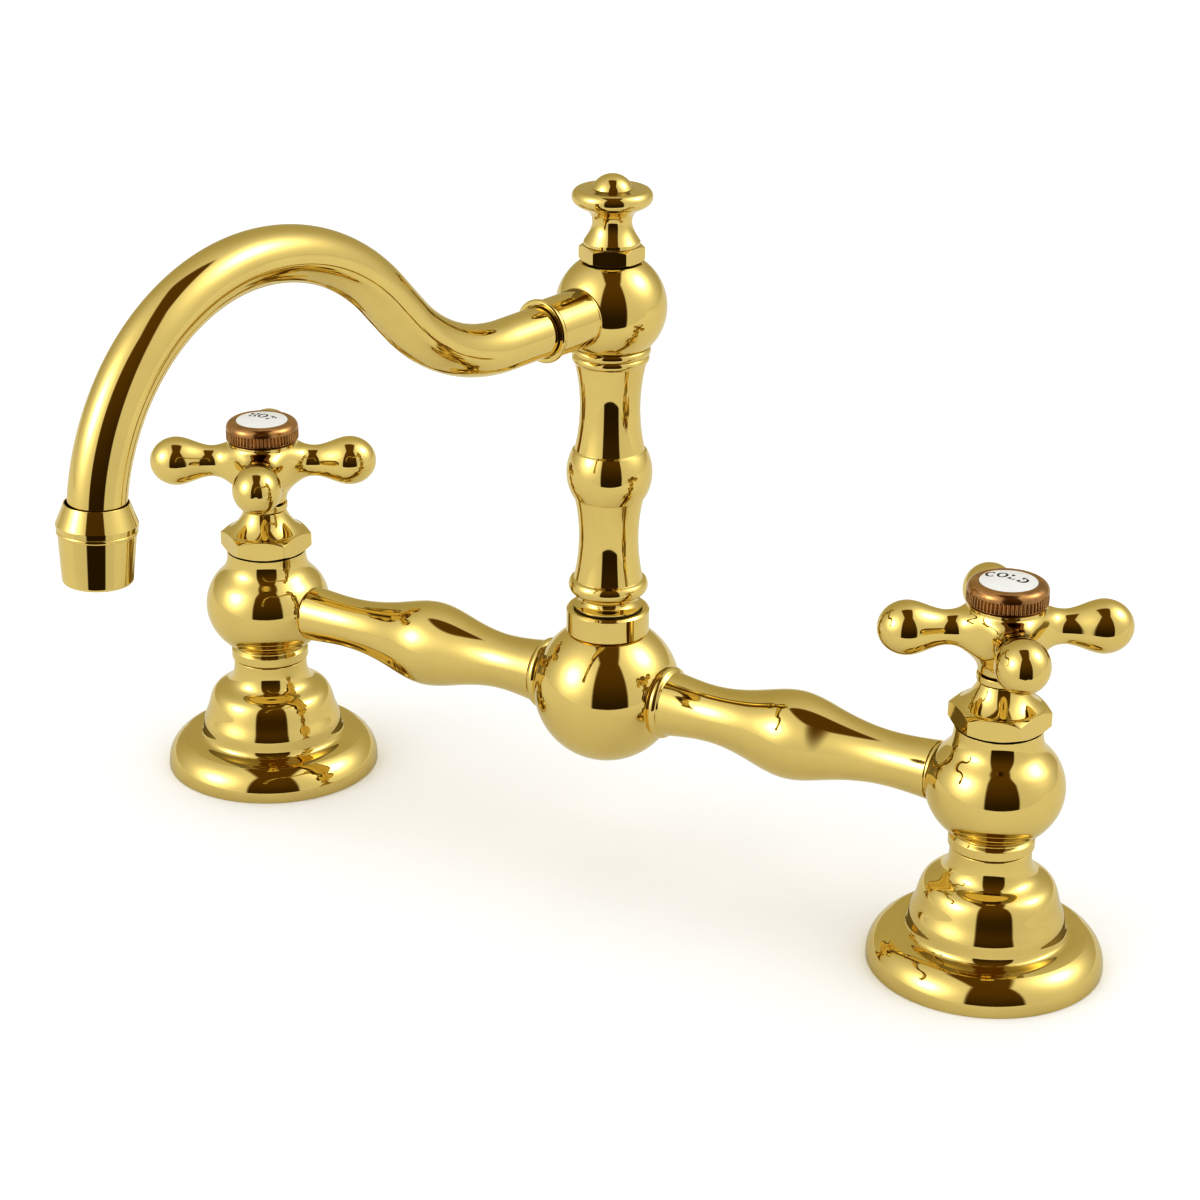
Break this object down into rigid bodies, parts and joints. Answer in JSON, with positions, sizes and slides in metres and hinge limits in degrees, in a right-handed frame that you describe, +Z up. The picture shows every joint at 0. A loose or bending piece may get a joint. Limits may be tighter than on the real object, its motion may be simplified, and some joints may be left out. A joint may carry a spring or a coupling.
{
  "type": "bridge bathroom faucet",
  "caption": "Polished brass bridge faucet with cross handles, swivelling column, arched spout with aerator and a finial, standing on bell-shaped deck flanges.",
  "frame": {"origin": "on the deck, midway between the two inlets and under the axis of the column", "axes": "+X runs from the hot valve to the cold valve, +Z is up, and the user stands on the -Y side; the spout rests 10 degrees towards the hot side of -Y"},
  "size_m": [0.2576, 0.1857, 0.1797],
  "materials": {
    "polished_brass": "mirror polished gold-coloured brass under a clear protective coat",
    "raw_brass": "machined, unpolished",
    "bronze": "polished, a redder and darker tone than the body, knurled band",
    "porcelain": "glazed white, with small dark lettering",
    "valve_ceramic": "lapped",
    "seal_rubber": "moulded, black",
    "bearing_plastic": "moulded, off white",
    "spring_steel": "plain stainless steel"
  },
  "bodies": {
    "faucet_body": {"hot_base_flange": "polished_brass", "hot_deck_gasket": "seal_rubber", "hot_inlet_coupling": "raw_brass", "hot_valve_body": "polished_brass", "hot_bonnet": "polished_brass", "hot_cartridge_body": "raw_brass", "hot_cartridge_seal": "seal_rubber", "hot_seat_seal": "seal_rubber", "hot_fixed_disc": "valve_ceramic", "hot_bridge_arm": "polished_brass", "hot_arm_seals": "seal_rubber", "cold_base_flange": "polished_brass", "cold_deck_gasket": "seal_rubber", "cold_inlet_coupling": "raw_brass", "cold_valve_body": "polished_brass", "cold_bonnet": "polished_brass", "cold_cartridge_body": "raw_brass", "cold_cartridge_seal": "seal_rubber", "cold_seat_seal": "seal_rubber", "cold_fixed_disc": "valve_ceramic", "cold_bridge_arm": "polished_brass", "cold_arm_seals": "seal_rubber", "bridge_ball": "polished_brass", "column_collar": "polished_brass", "swivel_bush": "bearing_plastic"},
    "spout": {"spout_column": "polished_brass", "swivel_seals": "seal_rubber", "retaining_clip": "spring_steel", "spout_head": "polished_brass", "spout_tube": "polished_brass", "nozzle_collar": "polished_brass", "aerator_housing": "polished_brass", "aerator_washer": "seal_rubber", "aerator_screen": "spring_steel", "aerator_insert": "bearing_plastic", "finial_washer": "seal_rubber", "finial_nut": "polished_brass", "finial": "polished_brass"},
    "hot_handle": {"hot_turning_disc": "valve_ceramic", "hot_stem": "raw_brass", "hot_stem_seal": "seal_rubber", "hot_handle": "polished_brass", "hot_handle_screw": "spring_steel", "hot_index_ring": "bronze", "hot_index_button": "porcelain"},
    "cold_handle": {"cold_turning_disc": "valve_ceramic", "cold_stem": "raw_brass", "cold_stem_seal": "seal_rubber", "cold_handle": "polished_brass", "cold_handle_screw": "spring_steel", "cold_index_ring": "bronze", "cold_index_button": "porcelain"}
  },
  "joints": [
    {"name": "spout_swivel", "type": "hinge", "parent": "faucet_body", "child": "spout", "pos_m": [0, 0, 0.066], "axis": [0, 0, 1], "continuous": true},
    {"name": "hot_handle_turn", "type": "hinge", "parent": "faucet_body", "child": "hot_handle", "pos_m": [-0.1016, 0, 0.07], "axis": [0, 0, 1], "range_deg": [0, 90]},
    {"name": "cold_handle_turn", "type": "hinge", "parent": "faucet_body", "child": "cold_handle", "pos_m": [0.1016, 0, 0.07], "axis": [0, 0, 1], "range_deg": [-90, 0]}
  ]
}
